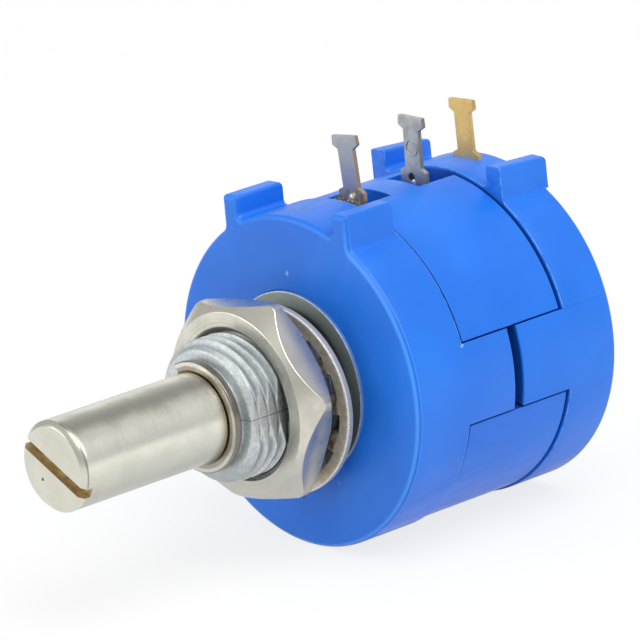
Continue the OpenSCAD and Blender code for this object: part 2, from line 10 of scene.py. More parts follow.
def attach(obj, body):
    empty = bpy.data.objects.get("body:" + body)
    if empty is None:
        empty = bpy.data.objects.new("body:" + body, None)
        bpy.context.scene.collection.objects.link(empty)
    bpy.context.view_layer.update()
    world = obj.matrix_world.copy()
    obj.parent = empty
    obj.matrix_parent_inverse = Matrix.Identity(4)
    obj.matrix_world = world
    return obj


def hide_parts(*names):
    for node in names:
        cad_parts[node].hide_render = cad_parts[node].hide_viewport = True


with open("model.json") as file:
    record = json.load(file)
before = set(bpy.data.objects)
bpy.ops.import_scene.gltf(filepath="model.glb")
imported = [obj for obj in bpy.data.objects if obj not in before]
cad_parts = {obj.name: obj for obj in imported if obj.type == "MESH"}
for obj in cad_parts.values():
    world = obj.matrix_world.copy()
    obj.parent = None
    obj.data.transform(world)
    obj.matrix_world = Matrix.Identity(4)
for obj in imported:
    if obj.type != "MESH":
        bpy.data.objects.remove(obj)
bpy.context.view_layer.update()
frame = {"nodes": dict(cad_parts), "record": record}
nodes = frame["nodes"]
mm = 0.001
fullTurn = 2 * math.pi
print("frame loaded:", len(nodes), "nodes")


# camera: fitted to the photograph's outlines, in degrees and mm
camera = {"azimuth": 47.7936, "elevation": 16.5068, "roll": -4.4009,
          "place": (303.745, -272.892, 125.114), "focalPixels": 6624.32, "frame": 640}


def placeCamera(c):
    az, el, roll = (math.radians(c[k]) for k in ("azimuth", "elevation", "roll"))
    back = Vector((math.sin(az) * math.cos(el), -math.cos(az) * math.cos(el), math.sin(el)))
    level = Vector((math.cos(az), math.sin(az), 0))
    rise = back.cross(level)
    right = level * math.cos(roll) + rise * math.sin(roll)
    up = rise * math.cos(roll) - level * math.sin(roll)
    data = bpy.data.cameras.new("photoCamera")
    data.sensor_fit = "HORIZONTAL"
    data.sensor_width = 36
    data.lens = 36 * c["focalPixels"] / c["frame"]
    data.clip_start, data.clip_end = 0.02, 20
    camObject = bpy.data.objects.new("photoCamera", data)
    place = Vector(c["place"]) * mm
    camObject.matrix_world = Matrix(((right.x, up.x, back.x, place.x), (right.y, up.y, back.y, place.y),
                                     (right.z, up.z, back.z, place.z), (0, 0, 0, 1)))
    bpy.context.scene.collection.objects.link(camObject)
    bpy.context.scene.camera = camObject


placeCamera(camera)
print("camera placed")


# shapes: grids of points in mm

def meshGrids(name, grids):
    # four neighbours of a grid make one face; points that fall together are merged and the skin turned outwards
    points, faces, start = [], [], 0
    for grid in grids:
        rows, columns = grid.shape[:2]
        index = start + np.arange(rows * columns).reshape(rows, columns)
        faces.append(np.stack([index[:-1, :-1], index[1:, :-1], index[1:, 1:], index[:-1, 1:]],
                              -1).reshape(-1, 4))
        points.append(grid.reshape(-1, 3))
        start += rows * columns
    points, faces = np.concatenate(points) * mm, np.concatenate(faces)
    mesh = bpy.data.meshes.new(name)
    mesh.vertices.add(len(points))
    mesh.vertices.foreach_set("co", points.ravel())
    mesh.loops.add(faces.size)
    mesh.loops.foreach_set("vertex_index", faces.ravel())
    mesh.polygons.add(len(faces))
    mesh.polygons.foreach_set("loop_start", np.arange(0, faces.size, 4))
    mesh.update(calc_edges=True)
    skin = bmesh.new()
    skin.from_mesh(mesh)
    bmesh.ops.remove_doubles(skin, verts=skin.verts, dist=0.0008 * mm)
    bmesh.ops.recalc_face_normals(skin, faces=skin.faces)
    loose = sum(not e.is_manifold for e in skin.edges)
    skin.to_mesh(mesh)
    skin.free()
    print("  ", name, len(mesh.polygons), "faces,", loose, "open edges")
    return mesh


def addPiece(name, grids, body, materials, stands=(), bevel=None, crease=38):
    mesh = meshGrids(name, grids)
    mesh.polygons.foreach_set("use_smooth", np.ones(len(mesh.polygons), bool))
    piece = bpy.data.objects.new(name, mesh)
    bpy.context.scene.collection.objects.link(piece)
    for material in materials:
        mesh.materials.append(material)
    if bevel:
        edge = piece.modifiers.new("edges", "BEVEL")
        edge.width, edge.segments = bevel[0] * mm, bevel[1]
        edge.limit_method, edge.angle_limit = "ANGLE", math.radians(crease)
        edge.use_clamp_overlap, edge.harden_normals = False, True
    else:
        mesh.set_sharp_from_angle(angle=math.radians(crease))
    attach(piece, body)
    if stands:
        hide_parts(*stands)
    return piece


def turned(profile, angles):
    # a profile of (radius, y) carried round the shaft: (r sin a, y, r cos a)
    r, y = np.asarray(profile, float).T[:, :, None]
    a = np.asarray(angles)[None, :]
    return np.stack([r * np.sin(a), y + 0 * a, r * np.cos(a)], -1)


def turnAboutShaft(grid, degrees):
    a = math.radians(degrees)
    x, y, z = np.moveaxis(grid, -1, 0)
    return np.stack([x * math.cos(a) + z * math.sin(a), y, z * math.cos(a) - x * math.sin(a)], -1)


def softened(corners, cut, steps=4):
    # each corner becomes a curve (1-t)^2 before + 2t(1-t) corner + t^2 after, cut back along both sides
    c = np.asarray(corners, float)
    before, after = np.roll(c, 1, 0) - c, np.roll(c, -1, 0) - c
    lengthBefore, lengthAfter = (np.linalg.norm(s, axis=1, keepdims=True) for s in (before, after))
    cut = np.broadcast_to(np.asarray(cut, float), len(c))[:, None]
    first = c + before / lengthBefore * np.minimum(cut, 0.48 * lengthBefore)
    last = c + after / lengthAfter * np.minimum(cut, 0.48 * lengthAfter)
    t = np.linspace(0, 1, steps + 1)[None, :, None]
    curve = (1 - t) ** 2 * first[:, None] + 2 * t * (1 - t) * c[:, None] + t ** 2 * last[:, None]
    return curve.reshape(-1, c.shape[1])


def closed(points):
    return np.concatenate([points, points[:1]])


# shader maths: a wire is a node's output, and an expression on wires adds Math nodes

class Wire:
    def __init__(self, sheet, socket):
        self.sheet, self.socket = sheet, socket

    def math(self, operation, first, second=0.0):
        return self.sheet.node("ShaderNodeMath", {"operation": operation}, {0: first, 1: second})

    def __add__(self, other):
        return self.math("ADD", self, other)

    __radd__ = __add__

    def __sub__(self, other):
        return self.math("SUBTRACT", self, other)

    def __rsub__(self, other):
        return self.math("SUBTRACT", other, self)

    def __mul__(self, other):
        return self.math("MULTIPLY", self, other)

    __rmul__ = __mul__

    def __pow__(self, other):
        return self.math("POWER", self, other)

    def __gt__(self, other):
        return self.math("GREATER_THAN", self, other)

    def __lt__(self, other):
        return self.math("LESS_THAN", self, other)

    def __abs__(self):
        return self.math("ABSOLUTE", self)

    def high(self, other):
        return self.math("MAXIMUM", self, other)


class Sheet:
    # one material's node sheet; places are Object coordinates in mm
    def __init__(self, name):
        self.material = bpy.data.materials.new(name)
        self.material.use_nodes = True
        self.tree = self.material.node_tree
        self.tree.nodes.clear()
        coordinates = self.node("ShaderNodeTexCoord", {}, {}, "Object")
        self.place = self.node("ShaderNodeVectorMath", {"operation": "SCALE"},
                               {0: coordinates, "Scale": 1 / mm})
        self.x, self.y, self.z = (self.node("ShaderNodeSeparateXYZ", {}, {0: self.place}, k) for k in range(3))
        self.radius = (self.x * self.x + self.z * self.z) ** 0.5
        facing = self.node("ShaderNodeTexCoord", {}, {}, "Normal")
        self.facingX = self.node("ShaderNodeSeparateXYZ", {}, {0: facing}, 0)

    def node(self, kind, settings, inputs, output=0):
        made = self.tree.nodes.new(kind)
        for key, value in settings.items():
            setattr(made, key, value)
        for key, value in inputs.items():
            if isinstance(value, Wire):
                self.tree.links.new(value.socket, made.inputs[key])
            else:
                made.inputs[key].default_value = value
        return Wire(self, made.outputs[output])

    def stretch(self, x, y, z):
        # the place with each axis counted in its own unit
        return self.node("ShaderNodeVectorMath", {"operation": "MULTIPLY"}, {0: self.place, 1: (x, y, z)})

    def noise(self, size, detail=3, rough=0.55, place=None):
        # size is the width of a blotch in mm
        return self.node("ShaderNodeTexNoise", {}, {"Vector": place or self.place, "Scale": 1 / size,
                                                    "Detail": detail, "Roughness": rough})

    def around(self):
        # the angle about the shaft, in radians from the terminals towards +X
        return self.node("ShaderNodeMath", {"operation": "ARCTAN2"}, {0: self.x, 1: self.z})

    def fade(self, value, low, high, start=0.0, end=1.0):
        # runs smoothly from start to end while the value goes from low to high
        return self.node("ShaderNodeMapRange", {"interpolation_type": "SMOOTHSTEP"},
                         {0: value, 1: low, 2: high, 3: start, 4: end})

    def tint(self, factor, first, second):
        colours = {6: first if isinstance(first, Wire) else tuple(first) + (1,),
                   7: second if isinstance(second, Wire) else tuple(second) + (1,)}
        return self.node("ShaderNodeMix", {"data_type": "RGBA"}, {0: factor, **colours}, 2)

    def bump(self, height, depth):
        # height runs from 0 to 1 and depth is in mm
        return self.node("ShaderNodeBump", {}, {"Height": height, "Distance": depth * mm, "Strength": 1.0})

    def spot(self, centre, radius, ragged=0.35):
        # 1 inside a ragged round spot about a point in mm, 0 outside
        offset = self.node("ShaderNodeVectorMath", {"operation": "DISTANCE"}, {0: self.place, 1: centre}, 1)
        return self.fade(offset + (self.noise(radius * 0.7) - 0.5) * (radius * ragged * 2),
                         radius * 1.1, radius * 0.8)

    def finish(self, **values):
        inputs = {key.replace("_", " "): value for key, value in values.items()}
        for key, value in inputs.items():
            if key == "Base Color" and not isinstance(value, Wire):
                inputs[key] = tuple(value) + (1,)
        shader = self.node("ShaderNodeBsdfPrincipled", {}, inputs)
        out = self.tree.nodes.new("ShaderNodeOutputMaterial")
        self.tree.links.new(shader.socket, out.inputs[0])
        return self.material


# finishes

def residue(s):
    # dried flux in small smears on the front skirt
    marks = s.spot((-0.95, 1.75, 11.06), 0.34, 0.9).high(s.spot((-0.45, 2.4, 11.09), 0.36, 0.9))
    return marks * s.fade(s.noise(0.14, 4, 0.7), 0.43, 0.50)


def bluePlastic():
    s = Sheet("blueMoulding")
    cloudy = s.noise(7.0, 2, 0.5)
    grain = s.noise(0.09, 2, 0.6)
    flow = s.noise(1.6, 3, 0.6, s.stretch(1, 0.25, 1))
    base = s.tint(s.fade(cloudy, 0.35, 0.65), (0.005, 0.150, 0.70), (0.009, 0.175, 0.76))
    # the moulded front edge: painted highlights as a light band and a light line, with a painted dark line
    # between them, strongest on the right and lower side
    edgeHighlightZone = (s.y > 0.262) * (s.y < 0.7) * s.fade(s.z - s.x, 7.0, 3.5, 0.22, 1.0)
    light = s.fade(abs(s.y - 0.34), 0.09, 0.03).high(s.fade(abs(s.y - 0.61), 0.05, 0.02) * 0.7)
    base = s.tint(light * edgeHighlightZone * 0.6, base, (0.07, 0.34, 0.95))
    base = s.tint(s.fade(abs(s.y - 0.50), 0.06, 0.02) * edgeHighlightZone * 0.45, base, (0.002, 0.07, 0.42))
    # seams: painted shade inside the gaps and in the recess between the tabs, and a painted highlight along the
    # rims of the front and the rear skirt
    sunk = s.radius < 10.93
    base = s.tint((abs(s.y - 5.15) < 0.25) * sunk * 0.85, base, (0.002, 0.022, 0.12))
    base = s.tint((abs(s.y - 14.0) < 0.3) * sunk * 0.75, base, (0.002, 0.05, 0.34))
    base = s.tint((abs(s.z) < 3.6) * (s.y > 5.5) * (s.y < 13.5) * sunk * 0.8, base, (0.002, 0.03, 0.20))
    # painted highlight along the rims of the seams, broken up by noise
    seamRimHighlight = s.fade(abs(s.y - 4.91), 0.06, 0.02).high(s.fade(abs(s.y - 14.17), 0.05, 0.02)) * (s.radius > 11.0)
    seamRimHighlight = seamRimHighlight * (abs(s.z - s.x * 0.0424) > 2.7)
    base = s.tint(seamRimHighlight * s.fade(s.noise(0.5, 3), 0.35, 0.6) * 0.5, base, (0.16, 0.46, 0.95))
    # a mould line on the rear cover, 73.5 degrees from the terminals
    parting = s.fade(abs(s.x * 0.284 - s.z * 0.959), 0.07, 0.02) * (s.x > 10) * (s.y > 13.7)
    base = s.tint(parting * 0.35, base, (0.003, 0.08, 0.48))
    base = s.tint(residue(s) * 0.9, base, (0.02, 0.13, 0.26))
    nicks = s.spot((-0.22, 0.25, 7.32), 0.16, 0.9).high(s.spot((3.2, 0.25, -6.25), 0.07, 0.6))
    nicks = nicks.high(s.spot((5.99, 3.7, 10.24), 0.06, 0.5)).high(s.spot((10.67, 4.9, 3.05), 0.13, 0.9))
    cells = s.node("ShaderNodeTexVoronoi", {}, {"Vector": s.place, "Scale": 1 / 1.7, "Randomness": 1.0})
    pick = s.node("ShaderNodeTexVoronoi", {}, {"Vector": s.place, "Scale": 1 / 1.7, "Randomness": 1.0}, "Color")
    chosen = s.node("ShaderNodeSeparateColor", {}, {0: pick}) > 0.80
    dust = (s.fade(cells, 0.034, 0.018) * chosen).high(nicks * s.fade(grain, 0.42, 0.5))
    colour = s.tint(dust * 0.7, base, (0.45, 0.66, 0.95))
    colour = s.tint(s.spot((-0.27, 0.25, -7.85), 0.1, 0.6) * 0.8, colour, (0.01, 0.02, 0.08))
    height = grain * 0.5 + flow * 0.5
    rough = s.fade(flow, 0.3, 0.7, 0.36, 0.46) + dust * 0.2
    return s.finish(Base_Color=colour, Roughness=rough, Normal=s.bump(height, 0.010), Specular_IOR_Level=0.45)


def turnedShaft():
    # nickel with a painted dark reflection band along its upper side, a painted highlight band below it and
    # painted shade on its underside, all by the angle about the axis
    s = Sheet("shaftNickel")
    around = s.around()
    rings = s.noise(1, 2, 0.7, s.stretch(0.3, 22, 0.3))
    smear = s.noise(1.6, 3, 0.6, s.stretch(1, 0.8, 1))
    base = s.tint(s.fade(smear, 0.35, 0.7) * 0.5, (0.70, 0.695, 0.60), (0.60, 0.60, 0.51))
    shift = (smear - 0.5) * 0.25
    side = (s.y > -20.4)
    # painted dark reflection band, painted highlight band and painted shade on the underside
    base = s.tint(s.fade(abs(around + shift - 0.36), 0.44, 0.12) * side * 0.8, base, (0.38, 0.38, 0.33))
    base = s.tint(s.fade(abs(around + shift - 1.15), 0.60, 0.15) * side * 0.8, base, (0.93, 0.915, 0.80))
    base = s.tint(s.fade(around, 1.6, 2.3) * side * 0.8, base, (0.44, 0.45, 0.41))
    # painted dark line of shade at the chamfer's edge
    chamferShadeLine = s.fade(abs(s.y + 20.50), 0.07, 0.02) * (around > 0.2) * (around < 1.9)
    base = s.tint(chamferShadeLine * 0.7, base, (0.20, 0.19, 0.15))
    base = s.tint(s.spot((-1.05, -20.85, -0.95), 0.11, 0.5), base, (0.10, 0.08, 0.05))
    rough = s.fade(rings * 0.5 + smear * 0.5, 0.3, 0.7, 0.24, 0.34)
    return s.finish(Base_Color=base, Metallic=1.0, Roughness=rough, Normal=s.bump(rings, 0.0025))


def ringSteel():
    # painted shade by the shaft, then bronze, then a painted light band and a painted dark line at the rim, and
    # painted shade towards the bottom
    s = Sheet("ringSteel")
    smear = s.noise(0.4, 3, 0.6)
    base = s.tint(s.fade(s.radius + (smear - 0.5) * 0.15, 3.32, 3.46), (0.40, 0.35, 0.29), (0.76, 0.74, 0.68))
    # painted shade lines by the shaft and at the outer rim
    base = s.tint(s.fade(s.radius, 3.16, 3.08).high(s.fade(s.radius, 3.58, 3.67)) * 0.8, base,
                  (0.10, 0.08, 0.06))
    # painted shade towards the bottom
    base = s.tint(s.fade(s.z, -0.5, -3.0) * 0.35, base, (0.30, 0.28, 0.25))
    return s.finish(Base_Color=base, Metallic=1.0, Roughness=s.fade(smear, 0.3, 0.7, 0.2, 0.32),
                    Normal=s.bump(smear, 0.004))


def castZinc():
    # grainy casting, with a dark line where the mould parted; painted shade in the thread's roots, towards the
    # bottom of its front end and on the thread behind the nut, painted shade on the flange's smooth face and a
    # painted reflection of the housing on the flange's narrow side
    s = Sheet("castZinc")
    grain = s.noise(0.06, 4, 0.75)
    patches = s.noise(0.35, 4, 0.7)
    base = s.tint(s.fade(patches, 0.38, 0.66), (0.52, 0.56, 0.57), (0.66, 0.70, 0.71))
    # painted shade in the thread's roots
    threadRootShade = s.fade(s.radius, 4.62, 4.38) * (abs(s.x) < 4.12) * (s.y > -7.4)
    base = s.tint(threadRootShade * 0.55, base, (0.26, 0.29, 0.30))
    base = s.tint(s.fade(grain, 0.58, 0.66) * 0.7, base, (0.95, 0.97, 0.97))
    base = s.tint(s.fade(grain, 0.42, 0.32) * 0.7, base, (0.22, 0.25, 0.26))
    parting = s.fade(abs(s.z - s.x * 0.0612 + (s.noise(0.4) - 0.5) * 0.04), 0.05, 0.015) * (s.x > 3.4)
    base = s.tint(parting * 0.7, base, (0.10, 0.11, 0.12))
    # painted shade towards the bottom of the thread's front end
    base = s.tint(s.fade(s.z, -1.5, -3.8) * (s.y < -6.6) * 0.5, base, (0.30, 0.32, 0.33))
    # painted shade on the thread behind the nut
    shade = (s.y > -3.3) * (s.radius < 4.9)
    base = s.tint(shade * 0.55, base, (0.10, 0.10, 0.095))
    # painted shade on the flange's face: darker towards the bottom and darkest by the thread, next to the washer
    # and nut
    face = (s.y > -0.2) * s.fade(s.radius, 6.08, 6.03)
    flangeShade = s.tint(s.fade(s.z + (patches - 0.5) * 3, -3.0, 5.0), (0.09, 0.12, 0.125), (0.25, 0.29, 0.265))
    flangeShade = s.tint(s.fade(s.radius, 5.3, 4.9), flangeShade, (0.05, 0.055, 0.055))
    base = s.tint(face, base, flangeShade)
    # painted reflection of the housing on the flange's narrow side
    side = (s.radius > 6.09) * (s.y > 0.04)
    base = s.tint(side * 0.85, base, (0.05, 0.22, 0.60))
    dullness = face.high(side)
    return s.finish(Base_Color=base, Metallic=s.fade(dullness, 0, 1, 1.0, 0.5),
                    Roughness=s.fade(grain, 0.3, 0.7, 0.28, 0.46),
                    Normal=s.bump(grain * 0.7 + patches * 0.3, 0.034))


def nutNickel():
    # painted reflections on each flat: the housing along one side and warm light along the other; painted shade
    # towards the bottom
    s = Sheet("nutNickel")
    around = s.around()
    blotches = s.noise(1.2, 4, 0.6)
    fine = s.noise(0.05, 3, 0.6)
    base = s.tint(s.fade(blotches, 0.35, 0.68), (0.73, 0.705, 0.63), (0.63, 0.605, 0.53))
    rings = s.node("ShaderNodeMath", {"operation": "SINE"}, {0: (s.radius + (blotches - 0.5) * 0.2) * 26})
    base = s.tint(s.fade(s.radius, 5.9, 5.3) * s.fade(rings, -1, 1) * 0.35, base, (0.36, 0.34, 0.29))
    # painted shade towards the bottom
    base = s.tint(s.fade(s.z, -0.5, -4.5) * 0.75, base, (0.46, 0.465, 0.43))
    flats = (s.y > -5.2 + (s.radius - 6.08) * 1.15) * (s.radius > 6.3)
    upper = flats * (around > 0.45) * (around < 1.45)
    lower = flats * (around > 1.45) * (around < 2.5)
    wander = (blotches - 0.5) * 0.8
    # painted reflections on the upper and lower flats, warm towards one face and blue-grey towards the other
    upperFlatReflection = s.tint(s.fade(s.y + wander, -4.3, -3.2), (0.70, 0.66, 0.57), (0.36, 0.36, 0.42))
    lowerFlatReflection = s.tint(s.fade(s.y + wander, -4.5, -3.7), (0.20, 0.24, 0.36), (0.60, 0.54, 0.38))
    base = s.tint(lower * 0.85, s.tint(upper * 0.85, base, upperFlatReflection), lowerFlatReflection)
    return s.finish(Base_Color=base, Metallic=1.0, Roughness=s.fade(blotches, 0.3, 0.7, 0.26, 0.36),
                    Normal=s.bump(fine * 0.6 + blotches * 0.4, 0.0012))


def washerNickel():
    # painted shade between its teeth, tan on its face and bright with burrs along its front edge
    s = Sheet("washerNickel")
    blotches = s.noise(0.5, 4, 0.6)
    fine = s.noise(0.07, 3, 0.7)
    out = (s.x * s.x + (s.z + 0.58) * (s.z + 0.58)) ** 0.5
    base = s.tint(s.fade(blotches, 0.35, 0.68), (0.74, 0.68, 0.55), (0.58, 0.50, 0.37))
    # painted shade between the teeth, in blotches
    toothShade = s.fade(out + (blotches - 0.5) * 0.5, 5.66, 5.42) * s.fade(blotches, 0.36, 0.6, 0.95, 0.5)
    base = s.tint(toothShade, base, (0.10, 0.08, 0.05))
    rim = s.fade(out, 6.30, 6.37)
    base = s.tint(rim * 0.8, base, (0.56, 0.55, 0.49))
    front = s.y - s.x * 0.0805 + 1.95
    burr = s.fade(out, 6.20, 6.32) * s.fade(front + (fine - 0.5) * 0.35, 0.20, 0.10)
    base = s.tint(burr * s.fade(fine, 0.44, 0.56), base, (0.95, 0.93, 0.88))
    return s.finish(Base_Color=base, Metallic=s.fade(burr, 0, 1, 0.5, 0.3),
                    Roughness=s.fade(blotches, 0.3, 0.7, 0.28, 0.45),
                    Normal=s.bump(fine * 0.7 + blotches * 0.3 + burr * fine, 0.010))


def plainMetal(name, light, dark, rough=(0.3, 0.45), blotch=0.7, grain=0.06, depth=0.008):
    s = Sheet(name)
    blotches = s.noise(blotch, 4, 0.6)
    fine = s.noise(grain, 3, 0.6)
    base = s.tint(s.fade(blotches, 0.35, 0.68), light, dark)
    return s.finish(Base_Color=base, Metallic=1.0, Roughness=s.fade(blotches, 0.3, 0.7, *rough),
                    Normal=s.bump(fine * 0.6 + blotches * 0.4, depth))


def tinnedSheet():
    # dull tin with darker sheared edges; the first terminal is brown at its base; on the third, painted shade
    # stands for a small hole, with a painted glint below it
    s = Sheet("tinnedSheet")
    cloudy = s.noise(0.7, 3, 0.55)
    fine = s.noise(0.05, 3, 0.6)
    first = s.y < 8
    base = s.tint(s.fade(cloudy, 0.35, 0.68), (0.46, 0.475, 0.465), (0.36, 0.375, 0.365))
    base = s.tint(first * 0.6, base, (0.36, 0.385, 0.40))
    sheared = s.fade(abs(s.facingX), 0.5, 0.8)
    base = s.tint(sheared * 0.8, base, s.tint(first, (0.20, 0.19, 0.16), (0.34, 0.21, 0.13)))
    brown = s.fade(s.z + (cloudy - 0.5), 12.0, 11.1) * first * s.fade(s.noise(0.45, 4), 0.40, 0.56)
    base = s.tint(brown * 0.8, base, (0.36, 0.25, 0.18))
    base = s.tint(s.spot((0.15, 6.0, 10.95), 0.30, 0.3) * 0.9, base, (0.80, 0.74, 0.70))
    # painted shade standing for a small hole in the third terminal
    hole = s.spot((-0.18, 11.75, 10.93), 0.30, 0.2)
    base = s.tint(hole, base, (0.05, 0.045, 0.04))
    # painted glint on the solder below the hole
    base = s.tint(s.spot((0.0, 11.68, 10.62), 0.20, 0.3), base, (0.95, 0.95, 0.93))
    height = fine * 0.4 + cloudy * 0.6 - hole * 1.5
    return s.finish(Base_Color=base, Metallic=0.75, Roughness=s.fade(cloudy, 0.3, 0.7, 0.34, 0.46),
                    Normal=s.bump(height, 0.012))


def fluxCrust():
    # burnt flux, nearly black, with pale green and tan crumbs; its near-black blue also paints the shade in the
    # notch by the first terminal
    s = Sheet("fluxCrust")
    lumps, crumbs = s.noise(0.30, 4, 0.7), s.noise(0.13, 4, 0.75)
    base = s.tint(s.fade(lumps, 0.4, 0.6), (0.012, 0.03, 0.06), (0.10, 0.08, 0.05))
    base = s.tint(s.fade(crumbs, 0.56, 0.62) * 0.9, base, (0.55, 0.66, 0.56))
    return s.finish(Base_Color=base, Roughness=s.fade(crumbs, 0.3, 0.7, 0.25, 0.6), Normal=s.bump(crumbs, 0.06))


def plainPlastic(name, light, dark, rough=0.5):
    s = Sheet(name)
    cloudy = s.noise(2.0, 3, 0.6)
    fine = s.noise(0.08, 2, 0.6)
    return s.finish(Base_Color=s.tint(cloudy, light, dark), Roughness=rough, Normal=s.bump(fine, 0.008))


def windingMetal():
    # fine turns of resistance wire round the mandrel, seen as ribs across it
    s = Sheet("windingMetal")
    around = s.around()
    ribs = s.node("ShaderNodeMath", {"operation": "SINE"}, {0: around * 700})
    base = s.tint(ribs * 0.5 + 0.5, (0.16, 0.09, 0.05), (0.62, 0.42, 0.26))
    return s.finish(Base_Color=base, Metallic=1.0, Roughness=0.35, Normal=s.bump(ribs * 0.5 + 0.5, 0.02))


finishes = {
    "housing_blue": bluePlastic(),
    "bushing_zinc": castZinc(),
    "shaft_nickel": turnedShaft(),
    "ring_steel": ringSteel(),
    "nut_nickel": nutNickel(),
    "washer_nickel": washerNickel(),
    "flux": fluxCrust(),
    "terminal_tin": tinnedSheet(),
    "terminal_gold": plainMetal("terminalGold", (0.72, 0.51, 0.20), (0.64, 0.44, 0.17), (0.32, 0.42), 0.9),
    "contact_gold": plainMetal("contactGold", (0.85, 0.62, 0.25), (0.72, 0.50, 0.18), (0.2, 0.3), 0.8),
    "slot_brass": plainMetal("slotBrass", (0.68, 0.56, 0.37), (0.48, 0.38, 0.22), (0.35, 0.5), 0.6),
    "thrust_white": plainPlastic("thrustWhite", (0.78, 0.76, 0.70), (0.70, 0.68, 0.62)),
    "rotor_white": plainPlastic("rotorWhite", (0.80, 0.79, 0.75), (0.74, 0.73, 0.69), 0.4),
    "carriage_grey": plainPlastic("carriageGrey", (0.05, 0.05, 0.055), (0.035, 0.035, 0.04)),
    "element_wire": windingMetal(),
}
print("finishes made:", len(finishes))

for record in frame["record"]["subparts"]:
    shown = nodes[record["node"]]
    shown.data.materials.clear()
    shown.data.materials.append(finishes[record["material_slot"]])


# housing: the front and rear shells share one outline with two lugs, the sleeve lies between them

housing = {"radius": 11.1, "front": 0.25, "rear": 18.35, "skirt": 4.7, "skirtInner": 9.85, "edge": 0.4,
           "frontWall": 2.45, "rearWall": 17.05, "rim": 0.06,
           "lugX": 5.12, "lugWidth": 1.3, "lugHeight": 1.76, "lugTurn": -1.2, "lugEdge": 0.22,
           "lugRound": 0.2, "lugFoot": 0.4, "innerFillet": 0.35, "outerFillet": 0.7,
           "tabMiddle": 87.5, "tabSweep": 28, "tab": 4.05,
           "seat": 6.17, "seatDepth": 1.3, "tailHole": 5.22}
# the rear shell's lugs stand a little wider, fall towards the rear and end just behind the rear face
cover = {**housing, "skirt": 4.22, "tab": 4.33, "lugX": 5.41, "lugHeight": 1.73, "lugTurn": -2.2,
         "lugFoot": 0.05, "lugFall": 0.24, "lugRound": 0.12, "lugPast": 0.06, "lugBlend": 0.5}
# a recess reaches these degrees above and below the tabs' middle
sleeve = {"radius": 10.96, "spigot": 9.83, "bore": 9.0, "start": 2.47, "front": 5.14, "rear": 13.91,
          "end": 15.2, "notch": 1.55, "frontNotch": 3.03, "rearNotch": 3.23, "recess": (14.41, 15.0)}


def halfOutline(h, inset, tabFrom, tabTo):
    # right half of the shell's outline, from the terminals down: circle, fillet, lug and circle again, all moved
    # inwards by the inset. With it come the circle's own points under the lug and the columns of the tab
    radius, inner, outer = h["radius"] - inset, h["innerFillet"] + inset, h["outerFillet"] + inset
    left, right = h["lugX"] - h["lugWidth"] / 2 + inset, h["lugX"] + h["lugWidth"] / 2 - inset
    top = math.sqrt((h["radius"] + h["lugHeight"]) ** 2 - h["lugX"] ** 2) - inset
    edge = max(h["lugEdge"] - inset, 0.0)
    leftX, rightX = left - inner, right + outer
    leftZ = math.sqrt((radius + inner) ** 2 - leftX ** 2)
    rightZ = math.sqrt((radius + outer) ** 2 - rightX ** 2)
    starts, ends = math.atan2(leftX, leftZ), math.atan2(rightX, rightZ)

    def arc(x, z, r, a, b, steps):
        t = np.linspace(a, b, steps)
        return np.stack([x + r * np.cos(t), z + r * np.sin(t)])

    def circle(a, b, steps):
        t = np.linspace(a, b, steps)
        return np.stack([radius * np.sin(t), radius * np.cos(t)])

    lug = np.concatenate([
        arc(leftX, leftZ, inner, math.atan2(-leftZ, -leftX), 0, 9),
        arc(left + edge, top - edge, edge, math.pi, math.pi / 2, 6),
        arc(right - edge, top - edge, edge, math.pi / 2, 0, 6),
        arc(rightX, rightZ, outer, math.pi, math.atan2(-rightZ, -rightX) + fullTurn, 9)], 1)
    parts = [circle(0, starts, 13), lug, circle(ends, tabFrom, 26), circle(tabFrom, tabTo, 18),
             circle(tabTo, math.pi, 41)]
    points = np.concatenate(parts, 1)
    isLug = np.concatenate([np.full(p.shape[1], k == 1) for k, p in enumerate(parts)])
    isTab = np.concatenate([np.full(p.shape[1], k == 3) for k, p in enumerate(parts)])
    under = points.copy()
    under[1, isLug] = np.sqrt(radius ** 2 - points[0, isLug] ** 2)
    return points, under, isTab


def shellOutline(h, inset):
    # both halves of the outline as one round; the tabs lie opposite each other, not mirrored. It is drawn before
    # its turn about the shaft, so the tabs' middle is counted without that turn
    middle, half = math.radians(h["tabMiddle"] - h["lugTurn"]), math.radians(h["tabSweep"] / 2)
    right = halfOutline(h, inset, middle - half, middle + half)
    left = halfOutline(h, inset, math.pi - middle - half, math.pi - middle + half)
    flip = np.array([[-1], [1]])
    points = np.concatenate([right[0], (left[0] * flip)[:, ::-1]], 1)
    under = np.concatenate([right[1], (left[1] * flip)[:, ::-1]], 1)
    return points, under, np.concatenate([right[2], left[2][::-1]])


def shellRow(h, y, inset=0.0, lift=1.0):
    # one row of the shell: the outline at a depth y, one or one for each column, its lugs scaled by lift
    points, under, _ = shellOutline(h, inset)
    shape = under + (points - under) * lift
    return turnAboutShaft(np.stack([shape[0], y + 0 * shape[0], shape[1]], -1), h["lugTurn"])


def ringRow(h, radius, y):
    # a plain circle on the same columns
    _, under, _ = shellOutline(h, 0.0)
    a = np.arctan2(under[0], under[1]) + math.radians(h["lugTurn"])
    return np.stack([radius * np.sin(a), y + 0 * a, radius * np.cos(a)], -1)


def lugHeight(h):
    return (math.sqrt((h["radius"] + h["lugHeight"]) ** 2 - h["lugX"] ** 2)
            - math.sqrt(h["radius"] ** 2 - h["lugX"] ** 2))


